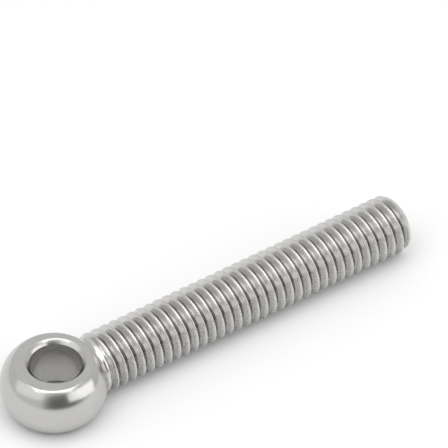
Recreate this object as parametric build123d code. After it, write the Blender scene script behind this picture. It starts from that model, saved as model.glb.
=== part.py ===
"""Eye bolt, M6 x 1: a ball eye forged in one piece with its fully threaded shank.

Millimetres. The origin is the centre of the eye's bore. +Z is the bore's axis and the
shank runs along +X. The bolt is a single stainless steel forging, so it is one solid.
"""
import os
from math import pi, sqrt, tan

from build123d import *

# --- driving dimensions, mm -------------------------------------------------------------
THREAD_D = 6.0            # M6, major diameter of the thread
PITCH = 1.0               # M6 coarse, right-hand
EYE_TO_TIP = 39.2         # bore centre to the end of the shank, nominal length 40

BORE_D = 5.0              # through hole of the eye
BORE_CHAMFER = 0.4        # 45 degree chamfer at both mouths of the bore
EYE_D = 10.25             # largest diameter of the ball eye
EYE_THICKNESS = 5.75      # across its two flats
EYE_ARC_R = 3.7           # radius of the eye's rounded side, seen in section
EYE_OFFSET = -0.25        # the ball's centre lies this far behind the bore's centre
FLAT_EDGE_R = 0.12        # rounding where the flats meet the rounded side

NECK_D = 5.6              # narrowest place, just in front of the eye
NECK_FILLET_R = 0.6       # hollow between the eye and the neck
NECK_BURIED = 0.2         # the neck starts this far outside the bore's mouth, inside the eye
COLLAR_D = 5.8            # plain stretch before the thread
COLLAR_FROM = 4.8         # where the collar reaches its diameter
THREAD_FROM = 5.3         # where the thread starts to be cut into the collar
RUN_OUT = 1.0             # length over which the thread gets to its full depth
TIP_CHAMFER = 0.4         # lead-in chamfer on the end

GROOVE_REACH = 0.1        # the thread's cutter stands this far out of the crests
GROOVE_BEYOND = 1.3       # and this many pitches past both ends of the thread
GROOVE_TURN = 100         # degrees, so that no seam of the cutter lies on the rod's seam
CUTTER_BEYOND = 1.0       # the bore's cutter runs this far past both flats

# --- worked out from them ---------------------------------------------------------------
THREAD_R = THREAD_D / 2
THREAD_DEPTH = PITCH * sqrt(3) / 2 * 17 / 24  # crest to root of a rolled 60 degree thread
ROOT_R = THREAD_R - THREAD_DEPTH
ROOT_FLAT = PITCH / 8
FLANK_SLOPE = tan(pi / 6)                     # half of the 60 degree thread angle
COLLAR_R = COLLAR_D / 2
NECK_R = NECK_D / 2
EYE_R = EYE_D / 2
HALF_THICKNESS = EYE_THICKNESS / 2
FLAT_R = EYE_R - EYE_ARC_R + sqrt(EYE_ARC_R**2 - HALF_THICKNESS**2)
NECK_FROM = BORE_D / 2 + BORE_CHAMFER + NECK_BURIED
UPRIGHT = (Align.CENTER, Align.CENTER, Align.MIN)


def ball_eye():
    """The eye without its hole: a barrel turned about the bore's axis, with two flats."""
    with BuildPart() as eye:
        with BuildSketch(Plane.XZ):
            with BuildLine():
                ThreePointArc((FLAT_R, -HALF_THICKNESS), (EYE_R, 0), (FLAT_R, HALF_THICKNESS))
                Polyline(
                    (FLAT_R, HALF_THICKNESS),
                    (0, HALF_THICKNESS),
                    (0, -HALF_THICKNESS),
                    (FLAT_R, -HALF_THICKNESS),
                )
            make_face()
        revolve(axis=Axis.Z)
        fillet(eye.edges().filter_by(GeomType.CIRCLE), FLAT_EDGE_R)
    return eye.part.moved(Location((EYE_OFFSET, 0, 0)))


def neck_and_collar():
    """The neck, with the hollow that leads into the eye, the collar and the run-out cone."""
    # the hollow's arc touches the neck and the eye's widest circle
    hollow_y = NECK_R + NECK_FILLET_R
    hollow_x = EYE_OFFSET + sqrt((EYE_R + NECK_FILLET_R) ** 2 - hollow_y**2)
    touch = EYE_R / (EYE_R + NECK_FILLET_R)
    on_eye = (EYE_OFFSET + (hollow_x - EYE_OFFSET) * touch, hollow_y * touch)
    run_out_end = THREAD_FROM + RUN_OUT
    with BuildPart() as neck:
        with BuildSketch():
            with BuildLine():
                Polyline((run_out_end, ROOT_R), (run_out_end, 0), (NECK_FROM, 0))
                Polyline((NECK_FROM, 0), (NECK_FROM, on_eye[1]), on_eye)
                RadiusArc(on_eye, (hollow_x, NECK_R), -NECK_FILLET_R)
                Spline((hollow_x, NECK_R), (COLLAR_FROM, COLLAR_R), tangents=[(1, 0), (1, 0)])
                Polyline(
                    (COLLAR_FROM, COLLAR_R),
                    (THREAD_FROM, COLLAR_R),
                    (run_out_end, ROOT_R),
                )
            make_face()
        revolve(axis=Axis.X)
        split(bisect_by=Plane.XY.offset(HALF_THICKNESS), keep=Keep.BOTTOM)
        split(bisect_by=Plane.XY.offset(-HALF_THICKNESS), keep=Keep.TOP)
    return neck.part


def bore_cutter():
    """The eye's through hole with a chamfer at each mouth."""
    cutter = Cylinder(BORE_D / 2, EYE_THICKNESS + 2 * CUTTER_BEYOND)
    cone_height = BORE_CHAMFER + CUTTER_BEYOND
    cone = Cone(BORE_D / 2, BORE_D / 2 + cone_height, cone_height, align=UPRIGHT)
    top = Location((0, 0, HALF_THICKNESS - BORE_CHAMFER)) * cone
    return cutter + top + mirror(top, about=Plane.XY)


def thread_groove(length):
    """The space between the ridges of a right-hand thread, standing on the Z axis."""
    height = THREAD_DEPTH + GROOVE_REACH
    mouth = ROOT_FLAT / 2 + height * FLANK_SLOPE
    with BuildSketch(Plane((ROOT_R, 0, 0), x_dir=(1, 0, 0), z_dir=(0, -1, 0))) as section:
        Polygon((0, -ROOT_FLAT / 2), (height, -mouth), (height, mouth), (0, ROOT_FLAT / 2), align=None)
    return Solid.sweep(section.sketch.face(), Helix(PITCH, length, ROOT_R), is_frenet=True)


def threaded_shank():
    """The rolled thread, from inside the collar to the chamfered end."""
    length = EYE_TO_TIP - THREAD_FROM
    rod = Cylinder(THREAD_R, length, align=UPRIGHT)
    rod = chamfer(rod.edges().group_by(Axis.Z)[-1], TIP_CHAMFER)
    beyond = GROOVE_BEYOND * PITCH
    groove = thread_groove(length + 2 * beyond).moved(Location((0, 0, -beyond), (0, 0, GROOVE_TURN)))
    along_x = Plane((THREAD_FROM, 0, 0), x_dir=(0, 1, 0), z_dir=(1, 0, 0))
    return along_x * (rod - groove)


def eye_bolt():
    """The whole forging."""
    return ball_eye() + neck_and_collar() - bore_cutter() + threaded_shank()


if __name__ == "__main__":
    os.makedirs("parts", exist_ok=True)
    bolt = eye_bolt()
    bolt.label = "eye_bolt"
    export_step(bolt, "parts/eye_bolt.step")
    print("eye_bolt", "volume", round(bolt.volume, 2), "mm3", bolt.bounding_box())
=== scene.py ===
from math import atan2, cos, pi, radians, sin, sqrt, tan

import bpy
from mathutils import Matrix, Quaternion, Vector


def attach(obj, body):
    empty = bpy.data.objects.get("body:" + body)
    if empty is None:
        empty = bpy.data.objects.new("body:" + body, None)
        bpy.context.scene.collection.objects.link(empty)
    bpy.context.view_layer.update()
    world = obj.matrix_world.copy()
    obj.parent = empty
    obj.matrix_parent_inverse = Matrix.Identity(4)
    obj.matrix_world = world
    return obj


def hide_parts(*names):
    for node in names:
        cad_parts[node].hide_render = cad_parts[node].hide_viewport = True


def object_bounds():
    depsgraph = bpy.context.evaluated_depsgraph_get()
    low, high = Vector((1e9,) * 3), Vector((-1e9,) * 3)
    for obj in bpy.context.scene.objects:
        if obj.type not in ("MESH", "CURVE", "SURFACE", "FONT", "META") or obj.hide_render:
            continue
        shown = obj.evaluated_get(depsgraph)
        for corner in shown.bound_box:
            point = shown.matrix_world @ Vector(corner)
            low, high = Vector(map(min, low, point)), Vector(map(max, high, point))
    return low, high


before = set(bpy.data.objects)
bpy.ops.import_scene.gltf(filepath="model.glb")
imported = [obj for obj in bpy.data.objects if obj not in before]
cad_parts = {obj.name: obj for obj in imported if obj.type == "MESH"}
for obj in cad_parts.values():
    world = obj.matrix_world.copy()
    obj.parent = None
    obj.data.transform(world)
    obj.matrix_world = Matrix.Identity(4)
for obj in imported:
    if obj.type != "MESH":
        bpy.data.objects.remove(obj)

cad_low, cad_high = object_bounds()
MM = 0.001


# ------------------------------------------------------------------ camera
# A long lens, as for catalogue pictures of small hardware: it stands over the eye's side,
# looks down at the bolt and keeps the shank's sides nearly parallel.
CAMERA_AIM = Vector((25.0, 8.89, 0)) * MM        # a point beside the shank, at its axis' height
CAMERA_BACK = 390.6 * MM
CAMERA_AZIMUTH = radians(-34.74)
CAMERA_ELEVATION = radians(44.43)
CAMERA_ROLL = radians(1.01)          # the camera is tipped a little about its line of sight
LENS_MM = 321.43
FILM_WIDTH_MM = 36

camera_data = bpy.data.cameras.new("camera")
camera_data.lens = LENS_MM
camera_data.sensor_width = FILM_WIDTH_MM
camera_data.clip_start = 10 * MM
camera = bpy.data.objects.new("camera", camera_data)
bpy.context.scene.collection.objects.link(camera)
back = Vector((
    sin(CAMERA_AZIMUTH) * cos(CAMERA_ELEVATION),
    -cos(CAMERA_AZIMUTH) * cos(CAMERA_ELEVATION),
    sin(CAMERA_ELEVATION),
))
camera.location = CAMERA_AIM + CAMERA_BACK * back
level = (-back).to_track_quat("-Z", "Y")
camera.rotation_euler = (level @ Quaternion((0, 0, 1), CAMERA_ROLL)).to_euler()
bpy.context.scene.camera = camera


# ------------------------------------------------------------------ the eye
# A ball eye of forged stainless steel, turned to a barrel shape with two milled flats.
# Its hole is drilled through the flats and chamfered at both mouths; the ball sits a
# little behind the hole's centre, away from the shank.
EYE_R = 5.125 * MM
EYE_HALF_THICKNESS = 2.875 * MM
EYE_ARC_R = 3.7 * MM                 # the rounded side, seen in section
EYE_BEHIND = -0.25 * MM              # the ball's centre along the shank
ARC_CENTRE = EYE_R - EYE_ARC_R       # the rounded side's centre, from the ball's axis
BORE_R = 2.5 * MM
BORE_CHAMFER = 0.4 * MM
FLAT_RIM_ROUNDING = 0.12 * MM
BORE_EDGE_ROUNDING = 0.035 * MM
FLAT_IN_R = 3.3 * MM                 # where the flat's ring is joined to the bore's mouth
EYE_AROUND = 160                     # faces round the eye and round its bore
ARC_AROUND = 120                     # faces on the full circle that the rounded side is cut from
CLOSE = 1e-6                         # points nearer than this are one point


def edit(piece, select="VERT"):
    """Opens piece alone in edit mode, with everything on it selected."""
    if bpy.context.mode != "OBJECT":
        bpy.ops.object.mode_set(mode="OBJECT")
    bpy.ops.object.select_all(action="DESELECT")
    bpy.context.view_layer.objects.active = piece
    piece.select_set(True)
    bpy.ops.object.mode_set(mode="EDIT")
    bpy.ops.mesh.select_mode(type=select)
    bpy.ops.mesh.select_all(action="SELECT")


def pick(piece, wanted, select="VERT"):
    """Opens piece in edit mode with the vertices selected for which wanted(co) is true."""
    edit(piece)
    bpy.ops.mesh.select_all(action="DESELECT")
    bpy.ops.object.mode_set(mode="OBJECT")
    for vertex in piece.data.vertices:
        vertex.select = wanted(vertex.co)
    if select == "EDGE":
        for edge in piece.data.edges:
            edge.select = all(piece.data.vertices[i].select for i in edge.vertices)
    bpy.ops.object.mode_set(mode="EDIT")
    bpy.ops.mesh.select_mode(type=select)


def near(a, b):
    return abs(a - b) < CLOSE


def from_axis(co, centre_x=0):
    """Distance from an upright axis through the shank's line."""
    return sqrt((co.x - centre_x) ** 2 + co.y**2)


bpy.ops.object.select_all(action="DESELECT")
bpy.ops.mesh.primitive_circle_add(
    vertices=ARC_AROUND,
    radius=EYE_ARC_R,
    location=(EYE_BEHIND + ARC_CENTRE, 0, 0),
    rotation=(pi / 2, 0, 0),
)
eye = bpy.context.object
eye.name = "eye_bolt_forging"
bpy.ops.object.transform_apply(location=True, rotation=True, scale=True)
# the circle is cut down to the arc between the two flats
for corner, outward in (
    ((0, 0, EYE_HALF_THICKNESS), (0, 0, 1)),
    ((0, 0, -EYE_HALF_THICKNESS), (0, 0, -1)),
    ((EYE_BEHIND + ARC_CENTRE, 0, 0), (-1, 0, 0)),
):
    edit(eye)
    bpy.ops.mesh.bisect(plane_co=corner, plane_no=outward, clear_outer=True, threshold=CLOSE / 10)
bpy.ops.object.mode_set(mode="OBJECT")

# the flats are drawn in from the arc's ends, the rims rounded, and all of it spun
rim_x = min(vertex.co.x for vertex in eye.data.vertices)
pick(eye, lambda co: near(co.x, rim_x))
bpy.ops.mesh.extrude_region_move(
    TRANSFORM_OT_translate={"value": (EYE_BEHIND + FLAT_IN_R - rim_x, 0, 0)}
)
pick(eye, lambda co: near(co.x, rim_x))
bpy.ops.mesh.bevel(offset=FLAT_RIM_ROUNDING / 2, segments=4, affect="VERTICES")
edit(eye)
bpy.ops.mesh.spin(steps=EYE_AROUND, angle=2 * pi, center=(EYE_BEHIND, 0, 0), axis=(0, 0, 1))
edit(eye)
bpy.ops.mesh.remove_doubles(threshold=CLOSE)

# from each flat's inner ring: in to the bore's mouth, down its chamfer and half its wall
MOUTH_R = BORE_R + BORE_CHAMFER
for side in (1, -1):
    flat_z = side * EYE_HALF_THICKNESS
    pick(eye, lambda co: near(from_axis(co, EYE_BEHIND), FLAT_IN_R) and near(co.z, flat_z), "EDGE")
    for move, resize in (
        ((-EYE_BEHIND, 0, 0), MOUTH_R / FLAT_IN_R),
        ((0, 0, -side * BORE_CHAMFER), BORE_R / MOUTH_R),
        ((0, 0, -side * (EYE_HALF_THICKNESS - BORE_CHAMFER)), 1),
    ):
        bpy.ops.mesh.extrude_region_move(TRANSFORM_OT_translate={"value": move})
        bpy.ops.transform.resize(value=(resize, resize, 1), center_override=(0, 0, 0))
    for radius in (BORE_R, MOUTH_R):
        edge_z = flat_z - side * (MOUTH_R - radius)
        pick(eye, lambda co: near(from_axis(co), radius) and near(co.z, edge_z), "EDGE")
        bpy.ops.mesh.bevel(offset=BORE_EDGE_ROUNDING, segments=3, affect="EDGES")
edit(eye)
bpy.ops.mesh.remove_doubles(threshold=CLOSE)
edit(eye)
bpy.ops.mesh.normals_make_consistent(inside=False)
bpy.ops.object.mode_set(mode="OBJECT")


# ------------------------------------------------------------------ the threaded shank
# M6 x 1 right-hand thread, rolled in the same steel forging, so its crests and roots are
# round. A short neck meets the eye in a small hollow and widens to a plain collar before
# the thread; the end is chamfered at 30 degrees.
THREAD_R = 3.0 * MM
PITCH = 1.0 * MM
TIP_X = 39.2 * MM
TIP_CHAMFER = 0.4 * MM               # the lead-in, across the shank
TIP_CHAMFER_LENGTH = 0.7 * MM        # and along it
NECK_R = 2.8 * MM
NECK_HOLLOW = 0.12 * MM              # width over which the eye and the neck run together
DIVE_AFTER = NECK_HOLLOW * 0.9       # where the buried neck leaves the ball's surface
DIVE_SHARE = 0.5                     # how much of the ball's height over it the neck sinks by
COLLAR_R = 2.875 * MM
NECK_TO_COLLAR = (3.95 * MM, 4.2 * MM)
THREAD_RISE = (4.3 * MM, 4.7 * MM)   # where the thread grows out of the collar to full depth
SHARP_V = PITCH * sqrt(3) / 2        # height of the thread's sharp triangle
ROOT_ROUND_R = SHARP_V / 6
ROOT_R = THREAD_R - SHARP_V * 17 / 24
CREST_ROUND_R = 0.09 * MM
FLANK = radians(60)                  # the flank's lean against the axis
THREAD_STARTS = 2.31 * MM            # where the middle of the first root passes over the top
UNDER_FLAT = 0.01 * MM               # the hollow's top lies this far under the eye's flats
SHANK_FROM = 3.3 * MM                # the shank's root, buried in the eye
THREAD_AROUND = 96
SMOOTH_UP_TO = radians(32)           # sharper edges than this stay crisp
BURIED_TURNS = 4                     # turns to spare, cut off at both ends
HALVINGS = 30                        # steps of the search for the ball's surface


def thread_section():
    """One pitch of the thread from the middle of a root to the next, as (along, radius)."""
    steps = 3
    root_centre = ROOT_R + ROOT_ROUND_R
    crest_centre = THREAD_R - CREST_ROUND_R
    # from the crest's middle to the centre of the arc that rounds its corner
    crest_half = (THREAD_R + SHARP_V / 8 - crest_centre) / tan(FLANK) - CREST_ROUND_R / sin(FLANK)
    turns = [FLANK * i / steps for i in range(steps + 1)]
    root = [(ROOT_ROUND_R * sin(t), root_centre - ROOT_ROUND_R * cos(t)) for t in turns]
    crest = [
        (PITCH / 2 - crest_half - CREST_ROUND_R * sin(t), crest_centre + CREST_ROUND_R * cos(t))
        for t in reversed(turns)
    ]
    rise = [(b - a) / steps for a, b in zip(root[-1], crest[0])]
    flank = [(root[-1][0] + rise[0] * i, root[-1][1] + rise[1] * i) for i in range(1, steps)]
    half = root + flank + crest
    return half + [(PITCH - along, radius) for along, radius in reversed(half)]


def between(x, limits):
    """0 before the first limit, 1 after the second, and a smooth rise between them."""
    share = min(max((x - limits[0]) / (limits[1] - limits[0]), 0), 1)
    return share * share * (3 - 2 * share)


def soft_max(a, b, width):
    """The larger of two lengths, rounded over where they are nearly the same."""
    share = max(width - abs(a - b), 0) / width
    return max(a, b) + share * share * width / 4


def eye_surface(x, turn):
    """How far the ball's surface is from the shank's axis, before its flats are milled."""
    low, high = 0, EYE_ARC_R
    inside = lambda r: (
        (sqrt((x - EYE_BEHIND) ** 2 + (r * cos(turn)) ** 2) - ARC_CENTRE) ** 2
        + (r * sin(turn)) ** 2
        < EYE_ARC_R**2
    )
    if not inside(low):
        return 0
    for _ in range(HALVINGS):
        middle = (low + high) / 2
        if inside(middle):
            low = middle
        else:
            high = middle
    return low


def neck_radius(x):
    return NECK_R + (COLLAR_R - NECK_R) * between(x, NECK_TO_COLLAR)


bpy.ops.object.select_all(action="DESELECT")
bpy.ops.mesh.primitive_plane_add(size=PITCH)
shank = bpy.context.object
shank.name = "shank"
outline = thread_section()
edit(shank)
bpy.ops.mesh.merge(type="CENTER")
bpy.ops.transform.translate(value=(THREAD_STARTS - PITCH, 0, outline[0][1]))
for here, there in zip(outline, outline[1:]):
    bpy.ops.mesh.extrude_vertices_move(
        TRANSFORM_OT_translate={"value": (there[0] - here[0], 0, there[1] - here[1])}
    )
bpy.ops.object.mode_set(mode="OBJECT")
screw = shank.modifiers.new("thread", "SCREW")
screw.axis = "X"
screw.screw_offset = PITCH
screw.iterations = int((TIP_X - THREAD_STARTS) / PITCH) + BURIED_TURNS
screw.steps = THREAD_AROUND
screw.render_steps = THREAD_AROUND
bpy.ops.object.modifier_apply(modifier="thread")
edit(shank)
bpy.ops.mesh.remove_doubles(threshold=CLOSE)
bpy.ops.object.mode_set(mode="OBJECT")

# the neck, its hollow and the run-out of the thread, worked into the first turns
for vertex in shank.data.vertices:
    x, y, z = vertex.co
    if x > THREAD_RISE[1]:
        continue
    radius, turn = sqrt(y * y + z * z), atan2(z, y)
    neck = neck_radius(x)
    floor_r = neck + (ROOT_R - neck) * between(x, THREAD_RISE)
    ceiling_r = neck + (THREAD_R - neck) * between(x, THREAD_RISE)
    new_r = min(max(radius, floor_r), ceiling_r)
    ball_r = eye_surface(x, turn)
    new_r = soft_max(new_r, ball_r, NECK_HOLLOW)
    # deeper in, the surface dives under the ball's and stays under the flats
    new_r -= max(ball_r - neck - DIVE_AFTER, 0) * DIVE_SHARE
    steepness = max(abs(sin(turn)), 0.1)
    new_r = min(new_r, (EYE_HALF_THICKNESS - UNDER_FLAT) / steepness)
    vertex.co = (x, y * new_r / radius, z * new_r / radius)

# both ends of the screw are closed flat: one inside the eye, one at the tip
for end, outward in ((SHANK_FROM, -1), (TIP_X, 1)):
    edit(shank)
    bpy.ops.mesh.bisect(
        plane_co=(end, 0, 0),
        plane_no=(outward, 0, 0),
        clear_outer=True,
        use_fill=True,
        threshold=CLOSE / 10,
    )
edit(shank)
bpy.ops.mesh.normals_make_consistent(inside=False)
bpy.ops.object.mode_set(mode="OBJECT")


def boolean(piece, other, operation):
    """Cuts piece with other, or joins them into one skin; other is then gone."""
    bpy.ops.object.select_all(action="DESELECT")
    bpy.context.view_layer.objects.active = piece
    cut = piece.modifiers.new(operation, "BOOLEAN")
    cut.operation = operation
    cut.object = other
    cut.solver = "EXACT"
    bpy.ops.object.modifier_apply(modifier=cut.name)
    bpy.data.objects.remove(other)


# the tip's chamfer: what stands outside a chamfered round bar is cut away
BAR_CLEAR = 0.3 * MM
BAR_R = THREAD_R + BAR_CLEAR
BAR_CHAMFER = TIP_CHAMFER + BAR_R - THREAD_R
bpy.ops.object.select_all(action="DESELECT")
bpy.ops.mesh.primitive_cylinder_add(
    vertices=EYE_AROUND,
    radius=BAR_R,
    depth=TIP_X,
    rotation=(0, pi / 2, 0),
    location=(TIP_X / 2 + CLOSE, 0, 0),
)
bar = bpy.context.object
bpy.ops.object.transform_apply(location=True, rotation=True)
pick(bar, lambda co: co.x > TIP_X, "EDGE")
bpy.ops.mesh.bevel(offset=BAR_CHAMFER, segments=1, affect="EDGES")
bpy.ops.object.mode_set(mode="OBJECT")
# from 45 degrees the chamfer's back edge moves away from the tip to give the long one
pick(bar, lambda co: near(co.x, TIP_X + CLOSE - BAR_CHAMFER))
bpy.ops.transform.translate(
    value=(BAR_CHAMFER * (1 - TIP_CHAMFER_LENGTH / TIP_CHAMFER), 0, 0)
)
bpy.ops.object.mode_set(mode="OBJECT")
# the bar flares towards the eye, so that it meets the shank at the tip alone
pick(bar, lambda co: co.x < CLOSE * 2)
bpy.ops.transform.resize(value=(1, 2, 2), center_override=(0, 0, 0))
bpy.ops.object.mode_set(mode="OBJECT")
boolean(shank, bar, "INTERSECT")
boolean(eye, shank, "UNION")
edit(eye, "FACE")
bpy.ops.mesh.faces_shade_smooth()
bpy.ops.object.mode_set(mode="OBJECT")
bpy.ops.object.shade_smooth_by_angle(angle=SMOOTH_UP_TO)

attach(eye, "root")
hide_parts("eye_bolt")


# ------------------------------------------------------------------ finishes of the steel
# One bare stainless steel all over, metallic 1. The ball and the bore's chamfers come from
# the tumbling drum, the flats from the mill, the bore from the drill, the collar and thread
# from the rolls and the end from the parting tool, so each has its own grain.
STEEL_PALE = "#D2D1CF"
STEEL_MEAN = "#C8C7C5"
SHADED_PALE = "#C6C5C3"                # painted shade: a dimmer copy of the steel's colours, for the ball and the flats
SHADED_MEAN = "#BCBBB9"
ROOT_SHADE_AND_OXIDE = "#6A6865"            # painted shade darkening the thread's roots, with oxide and old oil there too
CLOUD = 1.3 * MM                     # size of the faint patches in the steel's colour
RING_GAP = 0.16 * MM                 # coarser than a parting tool's real rings, so as to show
ROOT_SHADE_BAND = (0.01 * MM, 0.07 * MM)  # above the root, where the painted shade starts to fade and ends
MIX_A, MIX_B, MIX_RESULT = 6, 7, 2   # the colour sockets of a Mix node, which share names


def linear(hex_colour):
    """An sRGB hex colour as the linear colour that a shader takes."""
    parts = [int(hex_colour[i : i + 2], 16) / 255 for i in (1, 3, 5)]
    return [p / 12.92 if p <= 0.04045 else ((p + 0.055) / 1.055) ** 2.4 for p in parts] + [1]


def add(tree, kind, inputs, **settings):
    """Adds a node to tree; an input takes either a value or another node's output."""
    made = tree.nodes.new(kind)
    for name, value in settings.items():
        setattr(made, name, value)
    for name, value in inputs.items():
        if isinstance(value, bpy.types.NodeSocket):
            tree.links.new(value, made.inputs[name])
        else:
            made.inputs[name].default_value = value
    return made


def from_shank_axis(tree, place):
    """Distance from the shank's axis."""
    across = add(
        tree, "ShaderNodeVectorMath", {0: place, 1: (0, 1, 1)}, operation="MULTIPLY"
    ).outputs[0]
    return add(tree, "ShaderNodeVectorMath", {0: across}, operation="LENGTH").outputs["Value"]


def painted_root_shade(tree, place):
    """1 along the bottom of the thread's roots, 0 on its flanks: where shade is painted in."""
    return add(
        tree,
        "ShaderNodeMapRange",
        {
            "Value": from_shank_axis(tree, place),
            "From Min": ROOT_R + ROOT_SHADE_BAND[0],
            "From Max": ROOT_R + ROOT_SHADE_BAND[1],
            "To Min": 1,
            "To Max": 0,
        },
        interpolation_type="SMOOTHSTEP",
    ).outputs["Result"]


def facing_rings(tree, place):
    """Rings that the parting tool leaves round the shank's axis."""
    turns = add(
        tree,
        "ShaderNodeMath",
        {0: from_shank_axis(tree, place), 1: 2 * pi / RING_GAP},
        operation="MULTIPLY",
    ).outputs[0]
    return add(tree, "ShaderNodeMath", {0: turns}, operation="SINE").outputs[0]


def bare_steel(
    name, grain_mm, rough, relief_mm, mean=STEEL_MEAN, pale=STEEL_PALE, shade_mask=None, marks=None
):
    """Steel with a grain as long along x, y and z as grain_mm says.

    rough gives the roughness between the grain's lows and highs, relief_mm its height.
    A mask given for painted shade darkens the colour there, and marks adds tool marks to the
    grain.
    """
    material = bpy.data.materials.new(name)
    material.use_nodes = True
    tree = material.node_tree
    shader = tree.nodes["Principled BSDF"]
    place = add(tree, "ShaderNodeTexCoord", {}).outputs["Object"]
    drawn_out = add(
        tree,
        "ShaderNodeMapping",
        {"Vector": place, "Scale": [1 / (size * MM) for size in grain_mm]},
    ).outputs["Vector"]
    grain = add(
        tree,
        "ShaderNodeTexNoise",
        {"Vector": drawn_out, "Scale": 1, "Detail": 4, "Roughness": 0.6},
    ).outputs["Fac"]
    clouds = add(
        tree,
        "ShaderNodeTexNoise",
        {"Vector": place, "Scale": 1 / CLOUD, "Detail": 3, "Roughness": 0.55},
    ).outputs["Fac"]
    colour = add(
        tree,
        "ShaderNodeMix",
        {"Factor": clouds, MIX_A: linear(mean), MIX_B: linear(pale)},
        data_type="RGBA",
    ).outputs[MIX_RESULT]
    # painted shade: the colour is darkened where the mask is high
    if shade_mask:
        colour = add(
            tree,
            "ShaderNodeMix",
            {"Factor": shade_mask(tree, place), MIX_A: colour, MIX_B: linear(ROOT_SHADE_AND_OXIDE)},
            data_type="RGBA",
        ).outputs[MIX_RESULT]
    roughness = add(
        tree,
        "ShaderNodeMapRange",
        {"Value": grain, "From Min": 0.3, "From Max": 0.7, "To Min": rough[0], "To Max": rough[1]},
    ).outputs["Result"]
    height = grain
    if marks:
        height = add(
            tree,
            "ShaderNodeMath",
            {0: marks(tree, place), 1: 0.25, 2: grain},
            operation="MULTIPLY_ADD",
        ).outputs[0]
    bump = add(
        tree, "ShaderNodeBump", {"Height": height, "Distance": relief_mm * MM, "Strength": 1}
    ).outputs["Normal"]
    shader.inputs["Metallic"].default_value = 1
    tree.links.new(colour, shader.inputs["Base Color"])
    tree.links.new(roughness, shader.inputs["Roughness"])
    tree.links.new(bump, shader.inputs["Normal"])
    return material


# The grains are drawn coarser than the real ones, which are some hundredths of a millimetre.
# Tumbled: nearly a mirror, with soft edges to its reflections and a faint lay round the eye.
# painted shade: the ball and the bore's chamfers take the dimmer copy of the steel's colours
tumbled = bare_steel(
    "tumbled_stainless", (0.5, 0.5, 0.16), (0.15, 0.24), 0.0015, SHADED_MEAN, SHADED_PALE
)
# Milled: an even satin grey.
# painted shade: the flats take the same dimmer copy
milled = bare_steel(
    "milled_stainless", (0.22, 0.22, 0.22), (0.26, 0.36), 0.0022, SHADED_MEAN, SHADED_PALE
)
# Drilled: fine streaks along the bore.
drilled = bare_steel("drilled_stainless", (0.22, 0.22, 3), (0.2, 0.28), 0.003)
# Rolled: half-bright metal with a fine grain, and a dark line of painted shade and oxide in every
# root.
rolled = bare_steel("rolled_stainless", (0.24, 0.24, 0.24), (0.16, 0.36), 0.009, shade_mask=painted_root_shade)
# Parted off: a dull, pale end face with rings.
parted = bare_steel(
    "parted_stainless", (0.25, 0.25, 0.25), (0.36, 0.46), 0.003, marks=facing_rings
)
eye.data.materials.clear()
finishes = [tumbled, milled, drilled, rolled, parted]
for material in finishes:
    eye.data.materials.append(material)
for face in eye.data.polygons:
    middle = face.center
    finish = tumbled
    if abs(middle.z) > EYE_HALF_THICKNESS - CLOSE and abs(face.normal.z) > 0.99:
        finish = milled
    elif from_axis(middle) < BORE_R + CLOSE:
        finish = drilled
    elif middle.x > TIP_X - CLOSE:
        finish = parted
    elif middle.x > NECK_TO_COLLAR[0]:
        finish = rolled
    face.material_index = finishes.index(finish)


# ------------------------------------------------------------------ floor and light
# A matt white board under the bolt, a pale room round it with a dim and a dark corner in
# front, and softboxes: one right of the camera, a wide and a narrow one left of it, and one
# overhead. Each is placed by the angles at which the bolt sees it from the camera's side.
WHITE_BOARD = "#E3E3E3"
ROOM_PALE = 0.8
ROOM_DIM = 0.5
ROOM_DARK = 0.18
LIGHTS_AWAY = 500 * MM
BOARD_WIDTH = 2000 * MM

bpy.ops.object.select_all(action="DESELECT")
bpy.ops.mesh.primitive_plane_add(size=BOARD_WIDTH, location=(0, 0, cad_low.z))
floor = bpy.context.object
floor.name = "floor"
board = bpy.data.materials.new("white_board")
board.use_nodes = True
board_shader = board.node_tree.nodes["Principled BSDF"]
board_shader.inputs["Base Color"].default_value = linear(WHITE_BOARD)
board_shader.inputs["Roughness"].default_value = 0.8
floor.data.materials.append(board)


def seen_at(around, up):
    """The direction at these angles from the camera's side and from the floor, in degrees."""
    azimuth, elevation = CAMERA_AZIMUTH + radians(around), radians(up)
    return Vector((
        sin(azimuth) * cos(elevation),
        -cos(azimuth) * cos(elevation),
        sin(elevation),
    ))


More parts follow.
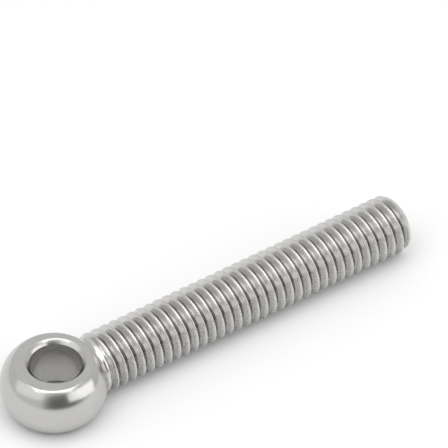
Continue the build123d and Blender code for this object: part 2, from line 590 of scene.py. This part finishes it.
def softbox(name, around, up, wide, tall, tilt, brightness):
    """An area light that spans wide by tall degrees, as seen from the bolt, turned by tilt."""
    box = bpy.data.lights.new(name, "AREA")
    box.shape = "RECTANGLE"
    box.size = 2 * LIGHTS_AWAY * tan(radians(wide / 2))
    box.size_y = 2 * LIGHTS_AWAY * tan(radians(tall / 2))
    box.energy = 4 * box.size * box.size_y * brightness
    lamp = bpy.data.objects.new(name, box)
    bpy.context.scene.collection.objects.link(lamp)
    middle = (cad_low + cad_high) / 2
    upright = seen_at(around, up).to_track_quat("Z", "Y")
    lamp.location = middle + LIGHTS_AWAY * seen_at(around, up)
    lamp.rotation_euler = (upright @ Quaternion((0, 0, 1), radians(tilt))).to_euler()
    lamp.visible_camera = False


softbox("softbox_right", 66, 21, 62, 28, -18, 0.95)
softbox("softbox_left", -58, 31, 60, 30, 20, 0.3)
softbox("softbox_left_inner", -58, 31, 40, 16, 20, 0.4)
softbox("softbox_overhead", 0, 76, 70, 50, 0, 1.45)

world = bpy.data.worlds.new("studio")
bpy.context.scene.world = world
world.use_nodes = True
room = world.node_tree
toward = add(room, "ShaderNodeTexCoord", {}).outputs["Generated"]


def dark_corner(shade, around, up, inner, outer, level):
    """The room's shade with a patch of level in it, fading from inner to outer degrees."""
    to_middle = add(
        room, "ShaderNodeVectorMath", {0: toward, 1: seen_at(around, up)}, operation="DOT_PRODUCT"
    ).outputs["Value"]
    darkness = add(
        room,
        "ShaderNodeMapRange",
        {
            "Value": to_middle,
            "From Min": cos(radians(outer)),
            "From Max": cos(radians(inner)),
        },
        interpolation_type="SMOOTHSTEP",
    ).outputs["Result"]
    return add(
        room,
        "ShaderNodeMix",
        {"Factor": darkness, MIX_A: shade, MIX_B: (level, level, level, 1)},
        data_type="RGBA",
    ).outputs[MIX_RESULT]


shade = (ROOM_PALE, ROOM_PALE, ROOM_PALE, 1)
shade = dark_corner(shade, 70, -4, 18, 50, ROOM_DIM)
shade = dark_corner(shade, 20, 12, 20, 46, ROOM_DARK)
room.links.new(shade, room.nodes["Background"].inputs["Color"])

# without a film curve, so that the white board comes out white
bpy.context.scene.view_settings.view_transform = "Standard"
